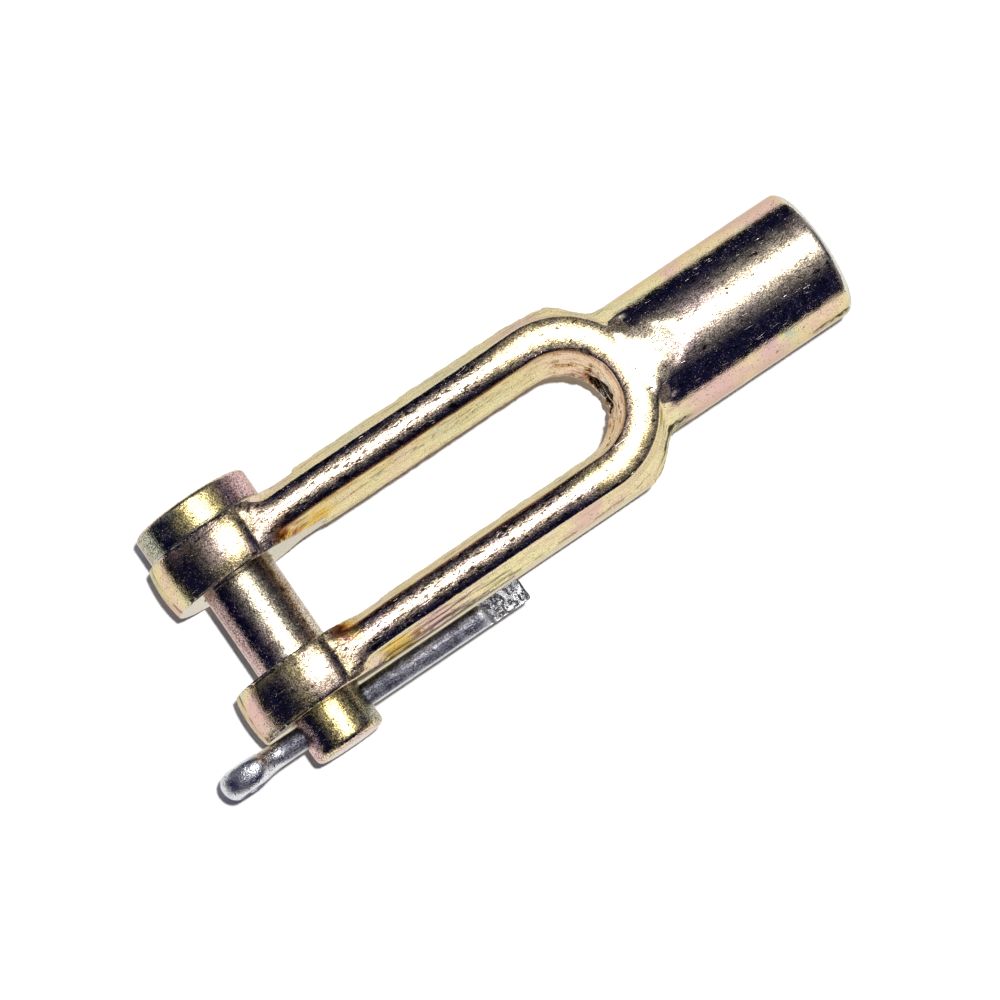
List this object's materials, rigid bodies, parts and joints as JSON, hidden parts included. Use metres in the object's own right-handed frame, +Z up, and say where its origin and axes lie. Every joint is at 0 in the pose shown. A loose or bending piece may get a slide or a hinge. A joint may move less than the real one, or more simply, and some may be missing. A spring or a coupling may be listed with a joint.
{
  "type": "clevis rod end",
  "caption": "Forged clevis rod end with a tapped round shank, a long U fork, a headed clevis pin and a split cotter, to hinge a threaded rod or cable to a lever.",
  "frame": {"origin": "where the clevis pin's axis crosses the shank's axis, midway between the ears", "axes": "+X along the shank to its tapped mouth, +Y from the pin's drilled tip to its head, +Z up; the fork lies flat"},
  "size_m": [0.0651, 0.0234, 0.012],
  "materials": {
    "forging": "yellow chromate over zinc, on a grained forged surface",
    "pin_steel": "yellow chromate over zinc, on a turned surface",
    "cotter_wire": "bright zinc on drawn half-round wire"
  },
  "bodies": {
    "clevis": {"clevis": "forging"},
    "clevis_pin": {"clevis_pin": "pin_steel"},
    "cotter_pin": {"cotter_pin": "cotter_wire"}
  },
  "joints": [
    {"name": "pin_turn", "type": "hinge", "parent": "clevis", "child": "clevis_pin", "pos_m": [0, 0, 0], "axis": [0, 1, 0], "continuous": true},
    {"name": "cotter_slide", "type": "slide", "parent": "clevis_pin", "child": "cotter_pin", "axis": [-1, 0, 0], "range_m": [-0.0021, 0.0225]}
  ]
}
